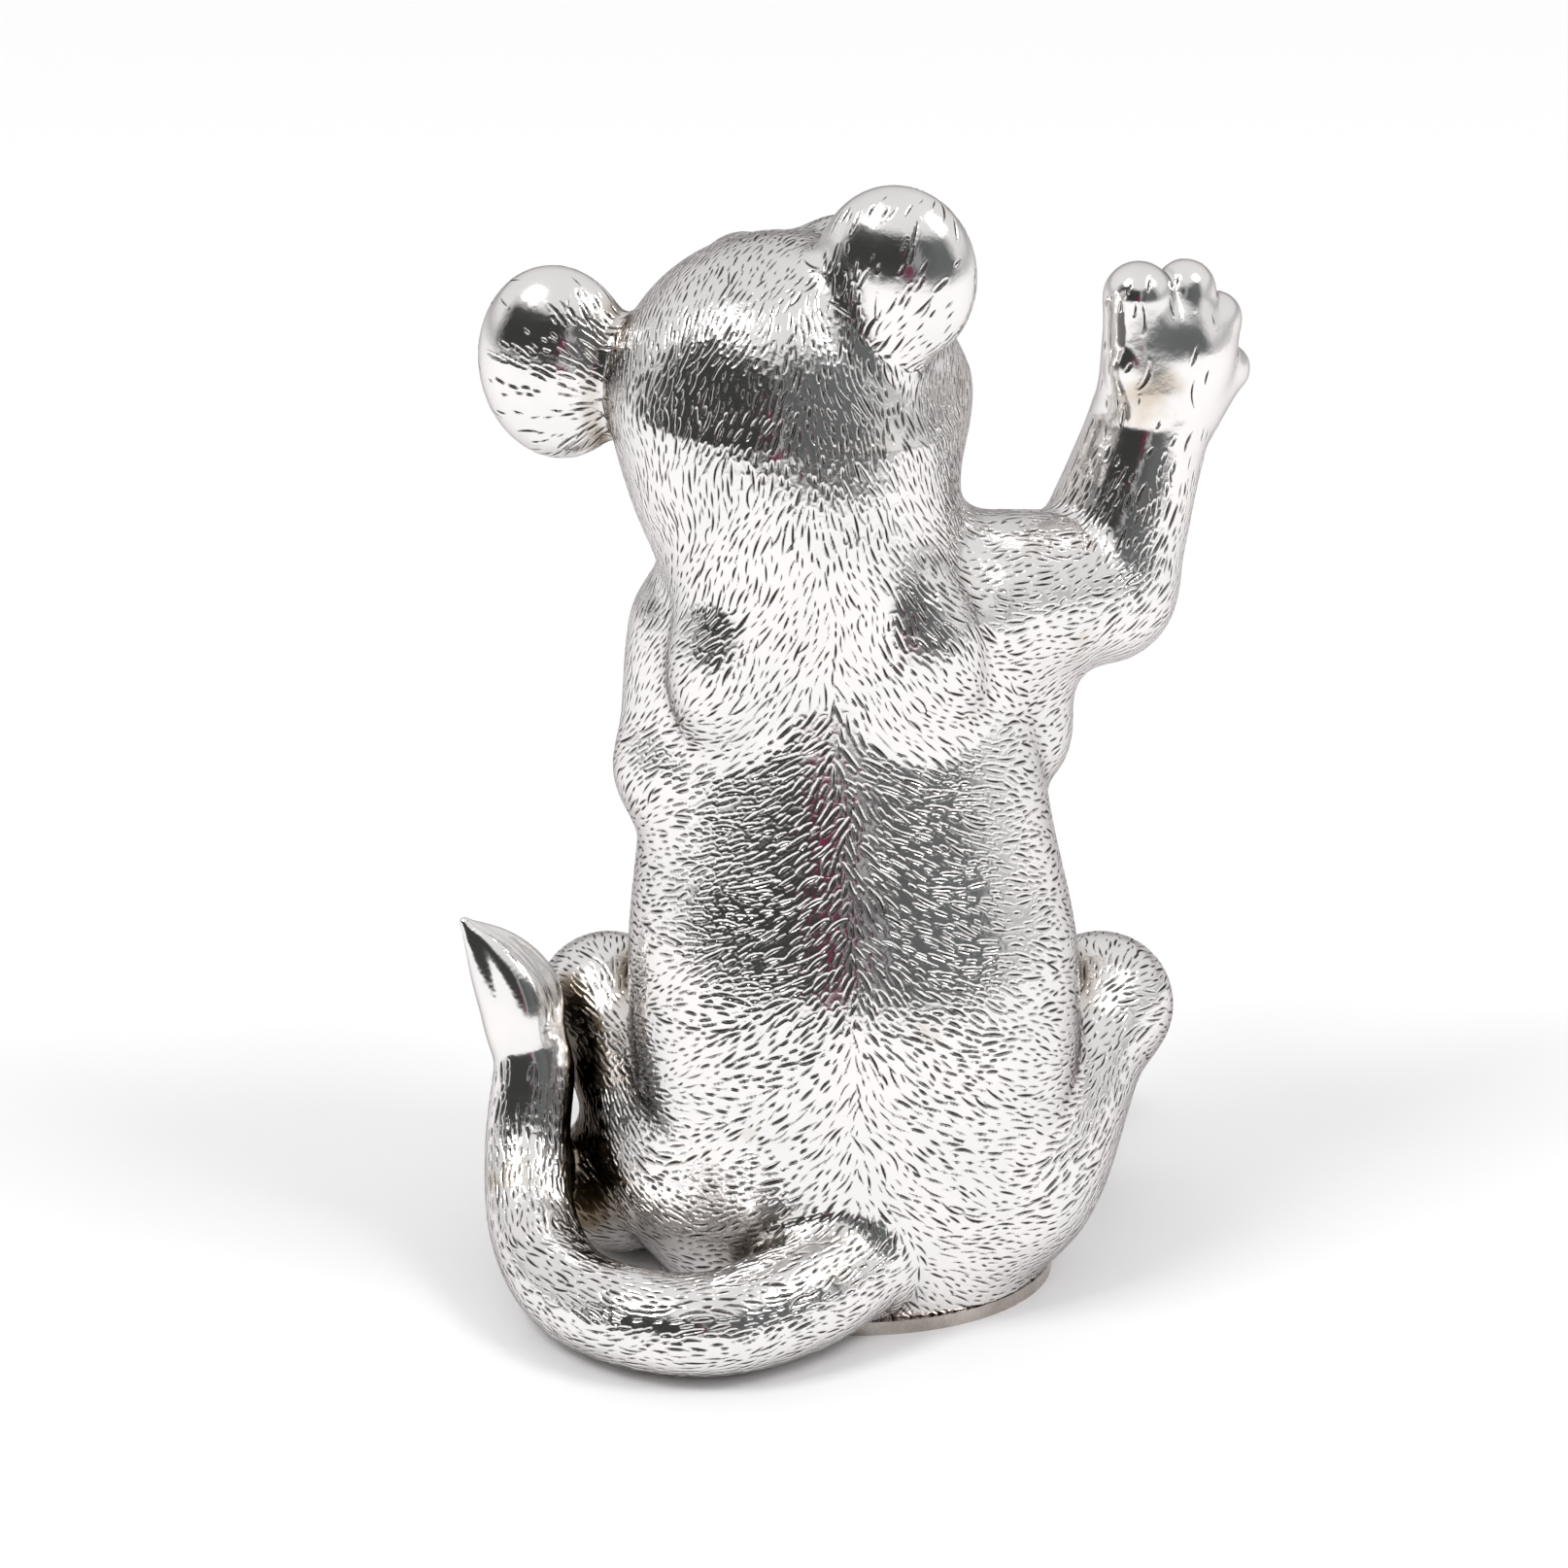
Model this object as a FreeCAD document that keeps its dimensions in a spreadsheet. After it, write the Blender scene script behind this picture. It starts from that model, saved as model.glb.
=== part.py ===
"""A seated lion cub figurine, cast in silver: hollow body and head shells, solid limbs, ears and tail.

Frame: millimetres, +Z up, the cub faces -Y and its left is +X. The origin is on the underside of the
base plate, below the middle of the body. Every skeleton point is given as shares of the torso's width
and depth and of the standing height, so the pieces stay joined when one of those sizes changes.
"""
import FreeCAD, Part
import math
import os
import Sketcher
from FreeCAD import Placement, Rotation, Vector

NODES_FOLDER = "parts"

SIZES = {
    "stature": 100.0,           # top of the raised ear above the table
    "torso_width": 38.0,        # rump, across the haunches' roots
    "torso_depth": 32.0,        # rump, chest side to back
    "chest_width": 34.0,
    "chest_depth": 26.4,
    "neck_width": 25.0,
    "neck_depth": 22.8,
    "head_width": 26.4,
    "head_length": 28.0,        # forehead to the back of the skull
    "head_height": 24.4,
    "muzzle_width": 14.0,
    "ear_width": 13.4,
    "ear_height": 16.8,
    "ear_thickness": 6.0,
    "shoulder_width": 14.4,     # thickness of the upper forelegs at the shoulder
    "foreleg_width": 11.6,      # thickness of the forelegs at the elbow
    "wrist_width": 9.6,
    "paw_width": 11.4,
    "toe_width": 5.6,
    "thigh_width": 18.4,
    "knee_width": 12.0,
    "hock_width": 8.8,
    "foot_width": 9.4,
    "tail_width": 8.4,          # thickness of the tail where it lies on the table
    "wall": 1.2,                # cast wall of the body and the head
    "plate_thickness": 1.2,
    "plate_lip": 0.9,           # how far the base plate stands out past the body
    "solder_gap": 0.08,         # clearance of each soldered seam
    "pin_width": 2.0,           # locating pins of the limbs and the tail
    "ear_pin_width": 1.2,
    "pin_length": 6.0,
    "ear_pin_length": 4.4,
    "pin_clearance": 0.05,      # around each locating pin
    "vent_width": 3.0,          # vent hole in the base plate
}

LEFT = 1
RIGHT = -1

doc = FreeCAD.newDocument("lion_cub_figurine")


def fill_sheet():
    sheet = doc.addObject("Spreadsheet::Sheet", "sizes")
    for row, (name, value) in enumerate(SIZES.items(), start=1):
        sheet.set(f"A{row}", str(value))
        sheet.setAlias(f"A{row}", name)
    doc.recompute()


# Skeleton points and expressions

def point(across, back, up):
    """A point as three expressions: shares of the torso's width and depth, and of the stature."""
    return (f"sizes.torso_width * {across}", f"sizes.torso_depth * {back}", f"sizes.stature * {up}")


def moved(start, across=0.0, back=0.0, up=0.0):
    """A point a few shares away from another point."""
    return tuple(f"({a}) + {b}" for a, b in zip(start, point(across, back, up)))


def between(start, end, share):
    """The point that lies a share of the way from start to end."""
    return tuple(f"({a}) * {1 - share} + ({b}) * {share}" for a, b in zip(start, end))


def difference(start, end):
    return tuple(f"({b}) - ({a})" for a, b in zip(start, end))


def vector(values):
    return f"create(<<vector>>; {values[0]}; {values[1]}; {values[2]})"


def length_between(start, end):
    dx, dy, dz = difference(start, end)
    return f"sqrt(({dx})^2 + ({dy})^2 + ({dz})^2)"


def placed_along(start, end, aimed_from=None):
    """A placement at start whose Z axis points from start (or aimed_from) to end."""
    aim = difference(aimed_from or start, end)
    turn = f"create(<<rotation>>; create(<<vector>>; 0; 0; 1); {vector(aim)})"
    return f"create(<<placement>>; {vector(start)}; {turn})"


def set_base(item, centre, turn=None):
    item.Placement = Placement(Vector(), turn or Rotation())
    for axis, value in zip("xyz", centre):
        item.setExpression(f"Placement.Base.{axis}", value)


# Building blocks

def mass(name, centre, radii, turn=None, grow="0"):
    """An ellipsoid; radii are half its size across, back and up, and grow swells or shrinks it."""
    item = doc.addObject("Part::Ellipsoid", name)
    item.Angle1 = -90
    item.Angle2 = 90
    item.Angle3 = 360
    across, back, up = radii
    item.setExpression("Radius2", f"({across}) + {grow}")
    item.setExpression("Radius3", f"({back}) + {grow}")
    item.setExpression("Radius1", f"({up}) + {grow}")
    set_base(item, centre, turn)
    return item


def bone(name, start, end, start_radius, end_radius):
    """A round-ended cone along a limb: half of its outline turned about the limb's own axis."""
    body = doc.addObject("PartDesign::Body", name)
    plane = next(item for item in body.Origin.OriginFeatures if item.Role == "XZ_Plane")
    sketch = body.newObject("Sketcher::SketchObject", f"{name}_outline")
    sketch.AttachmentSupport = (plane, "")
    sketch.MapMode = "FlatFace"
    low, high, length = 5.0, 4.0, 12.0
    lean = math.asin((low - high) / length)
    up = Vector(0, 0, 1)
    quarter = math.pi / 2
    bottom = Part.ArcOfCircle(Part.Circle(Vector(), up, low), -quarter, lean)
    top = Part.ArcOfCircle(Part.Circle(Vector(0, length, 0), up, high), lean, quarter)
    side_start = Vector(low * math.cos(lean), low * math.sin(lean), 0)
    side_end = Vector(high * math.cos(lean), length + high * math.sin(lean), 0)
    side = Part.LineSegment(side_start, side_end)
    axis = Part.LineSegment(Vector(0, length + high, 0), Vector(0, -low, 0))
    sketch.addGeometry([bottom, side, top, axis], False)
    first, last, middle, origin, vertical = 1, 2, 3, -1, -2
    sketch.addConstraint([
        Sketcher.Constraint("Coincident", 0, middle, origin, 1),
        Sketcher.Constraint("PointOnObject", 2, middle, vertical),
        Sketcher.Constraint("Tangent", 0, last, 1, first),
        Sketcher.Constraint("Tangent", 1, last, 2, first),
        Sketcher.Constraint("Coincident", 2, last, 3, first),
        Sketcher.Constraint("Coincident", 3, last, 0, first),
        Sketcher.Constraint("PointOnObject", 3, first, vertical),
        Sketcher.Constraint("PointOnObject", 3, last, vertical),
    ])
    measures = (("start_radius", "Radius", (0, low), start_radius), ("end_radius", "Radius", (2, high), end_radius),
                ("bone_length", "DistanceY", (0, middle, 2, middle, length), length_between(start, end)))
    for label, kind, values, expression in measures:
        index = sketch.addConstraint(Sketcher.Constraint(kind, *values))
        sketch.renameConstraint(index, label)
        sketch.setExpression(f"Constraints.{label}", expression)
    turned = body.newObject("PartDesign::Revolution", f"{name}_turned")
    turned.Profile = sketch
    turned.ReferenceAxis = (sketch, ["V_Axis"])
    turned.Angle = 360
    body.setExpression("Placement", placed_along(start, end))
    return body


def rod(name, start, end, radius, length):
    """A cylinder that starts at a point and runs towards another."""
    item = doc.addObject("Part::Cylinder", name)
    item.setExpression("Radius", radius)
    item.setExpression("Height", length)
    item.setExpression("Placement", placed_along(start, end))
    return item


def fused(name, shapes):
    item = doc.addObject("Part::MultiFuse", name)
    item.Shapes = shapes
    item.Refine = False
    return item


def cut(name, base, tool):
    item = doc.addObject("Part::Cut", name)
    item.Base = base
    item.Tool = tool
    return item


def common(name, shapes):
    item = doc.addObject("Part::MultiCommon", name)
    item.Shapes = shapes
    return item


def half(size):
    return f"sizes.{size} / 2"


# Skeleton

RUMP = point(0.0, -0.01, 0.18)
CHEST = point(0.045, -0.11, 0.47)
NECK = point(0.115, -0.145, 0.66)
HEAD = point(0.19, -0.17, 0.776)
HEAD_TURN = Rotation(Vector(0, 0, 1), -20) * Rotation(Vector(1, 0, 0), -12) * Rotation(Vector(0, 1, 0), 17)
EARS = {LEFT: point(0.655, -0.30, 0.782), RIGHT: point(-0.08, 0.0, 0.888)}
EAR_TURNS = {
    LEFT: Rotation(Vector(0, 0, 1), -14) * Rotation(Vector(1, 0, 0), -8) * Rotation(Vector(0, 1, 0), 8),
    RIGHT: Rotation(Vector(0, 0, 1), -24) * Rotation(Vector(1, 0, 0), -10) * Rotation(Vector(0, 1, 0), 4),
}

TORSO_MASSES = {
    "rump": (RUMP, (half("torso_width"), half("torso_depth"), "sizes.stature * 0.30")),
    "chest": (CHEST, (half("chest_width"), half("chest_depth"), "sizes.stature * 0.31")),
    "neck": (NECK, (half("neck_width"), half("neck_depth"), "sizes.stature * 0.17")),
}


def head_point(across, back, up):
    """A point of the tilted head, as shares of the head's own width, length and height."""
    axes = [HEAD_TURN.multVec(axis) for axis in (Vector(1, 0, 0), Vector(0, 1, 0), Vector(0, 0, 1))]
    shares = (f"sizes.head_width * {across}", f"sizes.head_length * {back}", f"sizes.head_height * {up}")
    return tuple(
        f"({HEAD[i]}) + " + " + ".join(f"({share}) * ({axis[i]:.6f})" for share, axis in zip(shares, axes))
        for i in range(3))


HEAD_RADII = (half("head_width"), half("head_length"), half("head_height"))


def torso_block(name, grow):
    """Rump, chest and neck as one solid, all swollen or shrunk alike."""
    shapes = [mass(f"{name}_{label}", centre, radii, None, grow) for label, (centre, radii) in TORSO_MASSES.items()]
    return fused(name, shapes)


def head_cast():
    """Skull, cheeks and muzzle as one solid, before it is hollowed and fitted."""
    shapes = [mass("skull", HEAD, HEAD_RADII, HEAD_TURN)]
    for name, side in (("left_cheek", LEFT), ("right_cheek", RIGHT)):
        shapes.append(bone(name, head_point(0.10 * side, -0.20, -0.15), head_point(0.27 * side, -0.36, -0.21),
                           "sizes.head_height * 0.30", "sizes.head_height * 0.25"))
    shapes.append(bone("muzzle", head_point(0, -0.30, -0.16), head_point(0, -0.60, -0.24),
                       "sizes.muzzle_width / 2", "sizes.muzzle_width * 0.42"))
    return fused("head_cast", shapes)


def slab(name, low, high, turn=None, centre=None, reach="sizes.stature * 4"):
    """A wide box between two heights, used to cut and to split; turned, its heights run along its own Z."""
    item = doc.addObject("Part::Box", name)
    for side in ("Length", "Width"):
        item.setExpression(side, reach)
    item.setExpression("Height", f"({high}) - ({low})")
    turn = turn or Rotation()
    axes = [turn.multVec(axis) for axis in (Vector(1, 0, 0), Vector(0, 1, 0), Vector(0, 0, 1))]
    shift = (f"-({reach}) / 2", f"-({reach}) / 2", low)
    centre = centre or ("0", "0", "0")
    base = tuple(f"({centre[i]}) + " + " + ".join(f"({s}) * ({a[i]:.6f})" for s, a in zip(shift, axes))
                 for i in range(3))
    set_base(item, base, turn)
    return item


# Pieces

PLATE_TOP = "sizes.plate_thickness + sizes.solder_gap"
FAR = "sizes.stature * 2"
BACKWARD = Rotation(Vector(1, 0, 0), -90)       # turns a slab's Z axis to +Y
SEAM = point(0.0, -0.06, 0.40)                  # the body's seam plane passes here
HEAD_SEAM = head_point(0, -0.12, 0)             # and the head's seam plane here


def pin_between(name, start, end, kind="pin"):
    """A locating pin across a seam, and the hole that it sits in."""
    pin = rod(name, start, end, half(f"{kind}_width"), f"sizes.{kind}_length")
    hole = rod(f"{name}_hole", start, end, f"{half(f'{kind}_width')} + sizes.pin_clearance",
               f"sizes.{kind}_length + sizes.pin_clearance")
    return pin, hole


def foreleg(name, shoulder, elbow, wrist, paw, toes, build):
    """Upper foreleg, forearm and paw as one casting; build is how stout this shoulder is."""
    upper = bone(f"{name}_upper", shoulder, elbow, f"{half('shoulder_width')} * {build}", half("foreleg_width"))
    lower = bone(f"{name}_lower", moved(elbow, back=-0.02), wrist, "sizes.foreleg_width / 2 * 0.97",
                 half("wrist_width"))
    palm = mass(f"{name}_palm", paw, ("sizes.paw_width * 0.48", "sizes.paw_width * 0.40", "sizes.paw_width * 0.50"))
    shapes = [upper, lower, palm]
    for number, tip in enumerate(toes, start=1):
        shapes.append(bone(f"{name}_toe_{number}", between(paw, tip, 0.55), tip, "sizes.toe_width / 2 * 0.96",
                           half("toe_width")))
    return fused(f"{name}_cast", shapes)


def right_foreleg():
    elbow = point(-0.535, -0.40, 0.575)
    paw = point(-0.69, -0.52, 0.763)
    toes = (point(-0.626, -0.47, 0.822), point(-0.716, -0.56, 0.809), point(-0.774, -0.60, 0.776),
            point(-0.795, -0.58, 0.734))
    return foreleg("right_foreleg", point(-0.22, -0.125, 0.585), elbow, point(-0.653, -0.50, 0.71), paw, toes, 1.1)


def left_foreleg():
    elbow = point(0.392, -0.045, 0.455)
    paw = point(0.226, -0.65, 0.464)
    toes = [moved(paw, across=step, back=-0.10, up=-0.022) for step in (-0.10, -0.035, 0.035, 0.10)]
    return foreleg("left_foreleg", point(0.337, -0.125, 0.565), elbow, point(0.258, -0.53, 0.475), paw, toes, 0.84)


def hind_leg(name, side):
    """Haunch, shin and foot as one casting, before it is fitted to the body."""
    knee = point(0.558 * side, -0.375, 0.192)
    heel = point(0.45 * side, -0.61, 0.048)
    toes = point(0.515 * side, -0.94, 0.050)
    thigh = bone(f"{name}_thigh", point(0.31 * side, 0.045, 0.102), knee, half("thigh_width"), half("knee_width"))
    shin = bone(f"{name}_shin", moved(knee, up=-0.005), moved(heel, up=0.012), "sizes.knee_width / 2 * 0.96",
                half("hock_width"))
    foot = bone(f"{name}_foot", heel, toes, "sizes.hock_width / 2 * 0.97", half("foot_width"))
    return fused(f"{name}_cast", [thigh, shin, foot])


def tail():
    """The tail, in short round-ended runs: round the left side on the table, then up to a pointed tuft."""
    stations = ((0.00, 0.375, 0.066, 0.60), (0.13, 0.54, 0.055, 0.57), (0.30, 0.656, 0.048, 0.52),
                (0.40, 0.67, 0.046, 0.505), (0.50, 0.60, 0.046, 0.495), (0.60, 0.48, 0.047, 0.48),
                (0.67, 0.33, 0.052, 0.465), (0.715, 0.20, 0.066, 0.45), (0.735, 0.06, 0.103, 0.435),
                (0.725, -0.04, 0.155, 0.42), (0.725, -0.095, 0.205, 0.44), (0.765, -0.12, 0.247, 0.42),
                (0.855, -0.13, 0.286, 0.16))
    nest = 0.985                # each run starts a little inside the last one's round end
    runs = []
    for number, (low, high) in enumerate(zip(stations[:-1], stations[1:]), start=1):
        runs.append(bone(f"tail_run_{number}", point(*low[:3]), point(*high[:3]),
                         f"sizes.tail_width * {low[3] * nest}", f"sizes.tail_width * {high[3]}"))
    return fused("tail_cast", runs)


def ear(name, side):
    """A rounded ear with a hollow front, before it is fitted to the head."""
    turn = EAR_TURNS[side]
    seam_outward = turn * Rotation(Vector(0, 0, 1), 90 * (1 + side))
    disc = mass(f"{name}_disc", EARS[side],
                (half("ear_width"), half("ear_thickness"), half("ear_height")), seam_outward)
    forward = turn.multVec(Vector(0, -1, 0))
    front = tuple(f"({EARS[side][i]}) + sizes.ear_thickness * 0.66 * ({forward[i]:.6f})" for i in range(3))
    hollow = mass(f"{name}_hollow", front, ("sizes.ear_width * 0.39", "sizes.ear_thickness * 0.62",
                                            "sizes.ear_height * 0.39"), turn)
    return cut(f"{name}_cast", disc, hollow)


def locating_pins():
    """One pin across each soldered seam: its name, the pin and its hole."""
    seams = {
        "left_foreleg": (point(0.30, -0.11, 0.55), point(0.60, -0.10, 0.53)),
        "right_foreleg": (point(-0.32, -0.22, 0.58), point(-0.535, -0.40, 0.575)),
        "left_hind_leg": (point(0.38, -0.15, 0.145), point(0.558, -0.375, 0.185)),
        "right_hind_leg": (point(-0.38, -0.15, 0.145), point(-0.558, -0.375, 0.185)),
        "tail": (point(0.04, 0.36, 0.066), point(0.13, 0.545, 0.053)),
    }
    pins = {name: pin_between(f"{name}_pin", *seam) for name, seam in seams.items()}
    for name, side in (("left_ear", LEFT), ("right_ear", RIGHT)):
        aim = moved(EARS[side], back=0.03)
        pins[name] = pin_between(f"{name}_pin", between(HEAD, aim, 0.64), aim, "ear_pin")
    return pins


def base_plate():
    """The plate that closes the hollow body, with its vent hole, and the seat that the rest is cut to."""
    centre = (RUMP[0], RUMP[1], "0")
    radii = ("sizes.torso_width * 0.42 + sizes.plate_lip", "sizes.torso_depth * 0.42 + sizes.plate_lip",
             "sizes.stature")
    blank = common("plate_blank", [mass("plate_round", centre, radii),
                                   slab("plate_slab", "0", "sizes.plate_thickness")])
    vent = rod("vent_hole", point(0, 0.22, -0.1), point(0, 0.22, 0.1), half("vent_width"), "sizes.stature * 0.2")
    seat = common("plate_seat", [mass("plate_seat_round", centre, radii, None, "sizes.solder_gap"),
                                 slab("plate_seat_slab", "0 - sizes.stature", PLATE_TOP)])
    return cut("base_plate", blank, vent), seat


def split(shell, names, turn, seam):
    """The two halves of a hollow casting, behind and before its seam plane."""
    behind = slab(f"{names[0]}_side", "sizes.solder_gap / 2", FAR, turn, seam)
    before = slab(f"{names[1]}_side", f"-({FAR})", "0 - sizes.solder_gap / 2", turn, seam)
    return {names[0]: common(names[0], [shell, behind]), names[1]: common(names[1], [shell, before])}


def figurine():
    """Every piece of the figurine, by name."""
    plate, plate_seat = base_plate()
    pieces = {"base_plate": plate}
    pins = locating_pins()
    holes = {name: hole for name, (_, hole) in pins.items()}
    ear_names = ("left_ear", "right_ear")
    limb_names = [name for name in holes if name not in ear_names]

    torso_seat = torso_block("torso_seat", "sizes.solder_gap")
    skull_hollow = mass("skull_hollow", HEAD, HEAD_RADII, HEAD_TURN, "(0 - sizes.wall)")
    body_cuts = [torso_block("torso_hollow", "(0 - sizes.wall)"), skull_hollow,
                 slab("below_the_body", f"-({FAR})", PLATE_TOP)]
    body_cuts += [holes[name] for name in limb_names]
    body = cut("body_shell", torso_block("torso", "0"), fused("body_cuts", body_cuts))
    pieces.update(split(body, ("back_shell", "front_shell"), BACKWARD, SEAM))

    head_cuts = [skull_hollow, torso_seat] + [holes[name] for name in ear_names]
    head = cut("head_shell", head_cast(), fused("head_cuts", head_cuts))
    pieces.update(split(head, ("skull_shell", "face_shell"), HEAD_TURN * BACKWARD, HEAD_SEAM))

    skull_seat = mass("skull_seat", HEAD, HEAD_RADII, HEAD_TURN, "sizes.solder_gap")
    for name, side in zip(ear_names, (LEFT, RIGHT)):
        fitted = cut(f"{name}_fitted", ear(name, side), skull_seat)
        pieces[name] = cut(name, fitted, holes[name])
    casts = {"left_foreleg": left_foreleg(), "right_foreleg": right_foreleg(),
             "left_hind_leg": hind_leg("left_hind_leg", LEFT), "right_hind_leg": hind_leg("right_hind_leg", RIGHT),
             "tail": tail()}
    for name, cast in casts.items():
        pieces[name] = cut(name, cast, fused(f"{name}_cuts", [torso_seat, plate_seat, holes[name]]))

    pin_groups = {"ear_pins": ear_names, "foreleg_pins": ("left_foreleg", "right_foreleg"),
                  "hind_leg_pins": ("left_hind_leg", "right_hind_leg")}
    for name, members in pin_groups.items():
        pieces[name] = fused(name, [pins[member][0] for member in members])
    pieces["tail_pin"] = pins["tail"][0]
    return pieces


def check(pieces):
    for item in doc.Objects:
        if "Invalid" in item.State or "Error" in item.State:
            raise RuntimeError(f"{item.Name} did not build")
    for name, piece in pieces.items():
        if piece.Shape.isNull() or not piece.Shape.isValid():
            raise RuntimeError(f"{name} has no valid shape")


fill_sheet()
pieces = figurine()
doc.recompute()
check(pieces)
os.makedirs(NODES_FOLDER, exist_ok=True)
for name, piece in pieces.items():
    piece.Label = name
    piece.Shape.exportStep(f"{NODES_FOLDER}/{name}.step")
    print(name, len(piece.Shape.Solids), round(piece.Shape.Volume, 1))
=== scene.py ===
"""A seated lion cub in chased silver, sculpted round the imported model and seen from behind.

The sculpture is a field of smoothly joined forms, worked in millimetres in the frame's own axes: +X is the
cub's left, +Y its back and +Z up. The field becomes one fine mesh. Each fur stroke is then engraved into
that mesh along the lie of the coat, and the mesh is split into the pieces that the CAD model has.
"""

import math
from collections import namedtuple

import bpy
import numpy as np
import openvdb
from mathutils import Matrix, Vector


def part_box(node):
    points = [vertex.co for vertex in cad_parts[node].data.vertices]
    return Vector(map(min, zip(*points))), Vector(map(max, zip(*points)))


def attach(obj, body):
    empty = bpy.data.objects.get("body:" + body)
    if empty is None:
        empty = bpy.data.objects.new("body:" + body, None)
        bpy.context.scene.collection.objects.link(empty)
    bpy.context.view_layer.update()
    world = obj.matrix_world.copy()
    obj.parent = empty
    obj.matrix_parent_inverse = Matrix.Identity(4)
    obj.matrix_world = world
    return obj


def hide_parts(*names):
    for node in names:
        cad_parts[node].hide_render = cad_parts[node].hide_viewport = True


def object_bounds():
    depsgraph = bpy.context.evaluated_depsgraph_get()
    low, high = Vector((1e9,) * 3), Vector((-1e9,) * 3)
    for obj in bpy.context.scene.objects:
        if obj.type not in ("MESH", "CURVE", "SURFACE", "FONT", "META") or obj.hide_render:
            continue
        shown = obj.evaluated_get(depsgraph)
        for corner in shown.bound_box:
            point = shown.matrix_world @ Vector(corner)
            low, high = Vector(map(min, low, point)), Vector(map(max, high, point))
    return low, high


MM = 0.001                      # one millimetre of the sculpture, in the frame's metres
DRAWN_HEIGHT = 97.08            # height of the CAD model that the sculpture's places were drawn for

COARSE = 1.04                   # spacing of the first sampling of the field
FINER = 4                       # how many fine steps one coarse step holds
FINE = COARSE / FINER
BAND = 1.5                      # the field is sampled finely only this near the surface
FAR = 10.0                      # stands for a part too far away to matter
REACH = 7.0                     # beyond this a part can't change the surface
MARGIN = 4.0                    # room between the CAD box and the edge of the field

DOWN = np.array((0.0, 0.0, -1.0))


# ---------------------------------------------------------------- forms

def at(x, y, z):
    return np.array((x, y, z), float)


def turned(yaw=0.0, pitch=0.0, roll=0.0):
    """The frame turned about Z, then X, then Y, in degrees. Its columns are that frame's own axes."""
    y, p, r = np.radians([yaw, pitch, roll])
    about_z = np.array([[np.cos(y), -np.sin(y), 0], [np.sin(y), np.cos(y), 0], [0, 0, 1]])
    about_x = np.array([[1, 0, 0], [0, np.cos(p), -np.sin(p)], [0, np.sin(p), np.cos(p)]])
    about_y = np.array([[np.cos(r), 0, np.sin(r)], [0, 1, 0], [-np.sin(r), 0, np.cos(r)]])
    return about_z @ about_x @ about_y


def joined(a, b, blend):
    """The union of two forms, with a fillet of about that size where they meet."""
    share = np.clip(0.5 + 0.5 * (b - a) / blend, 0, 1)
    return b + (a - b) * share - blend * share * (1 - share)


def carved(a, tool, blend):
    """The first form with the second cut out of it."""
    return -joined(-a, tool, blend)


def ellipsoid(p, centre, radii, axes=None):
    q = p - centre.astype(p.dtype)
    if axes is not None:
        q = q @ axes.astype(p.dtype)
    radii = np.asarray(radii, p.dtype)
    near = np.linalg.norm(q / radii, axis=1)
    slope = np.linalg.norm(q / radii**2, axis=1)
    return near * (near - 1) / np.maximum(slope, 1e-4)


def limb(p, start, end, start_radius, end_radius):
    """A round-ended limb whose radius eases from one end to the other."""
    start, run = start.astype(p.dtype), (end - start).astype(p.dtype)
    t = np.clip((p - start) @ run / (run @ run), 0, 1)
    eased = t * t * (3 - 2 * t)
    away = np.linalg.norm(p - start - t[:, None] * run, axis=1)
    return away - (start_radius + (end_radius - start_radius) * eased)


def chain(p, line, radii):
    """A tube along a line, as wide as the radius at each of its points."""
    d = np.full(len(p), FAR, p.dtype)
    for start, end, start_radius, end_radius in zip(line[:-1], line[1:], radii[:-1], radii[1:]):
        start, run = start.astype(p.dtype), (end - start).astype(p.dtype)
        t = np.clip((p - start) @ run / (run @ run), 0, 1)
        away = np.linalg.norm(p - start - t[:, None] * run, axis=1)
        d = np.minimum(d, away - (start_radius + (end_radius - start_radius) * t))
    return d


def smooth_line(points, steps):
    """A Catmull-Rom line through the points, with that many steps between each two."""
    points = np.array(points, float)
    points = np.vstack([2 * points[0] - points[1], points, 2 * points[-1] - points[-2]])
    line = []
    for a, b, c, d in zip(points[:-3], points[1:-2], points[2:-1], points[3:]):
        for s in np.linspace(0, 1, steps, endpoint=False):
            line.append(0.5 * (2 * b + (c - a) * s + (2 * a - 5 * b + 4 * c - d) * s**2
                               + (3 * b - a - 3 * c + d) * s**3))
    line.append(points[-2])
    return np.array(line)


def along_stations(stations, column, z):
    """A smooth curve through one column of the stations, read at each height."""
    heights, values = stations[:, 0], stations[:, column]
    slopes = np.gradient(values, heights)
    i = np.clip(np.searchsorted(heights, z) - 1, 0, len(heights) - 2)
    step = heights[i + 1] - heights[i]
    t = np.clip((z - heights[i]) / step, 0, 1)
    return ((2 * t**3 - 3 * t**2 + 1) * values[i] + (t**3 - 2 * t**2 + t) * step * slopes[i]
            + (3 * t**2 - 2 * t**3) * values[i + 1] + (t**3 - t**2) * step * slopes[i + 1])


def eased(value, low, high):
    """0 below low and 1 above high, smooth in between."""
    t = np.clip((value - low) / (high - low), 0, 1)
    return t * t * (3 - 2 * t)


def unit(vectors):
    return vectors / np.maximum(np.linalg.norm(vectors, axis=1), 1e-9)[:, None]


# ---------------------------------------------------------------- the cub

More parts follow.
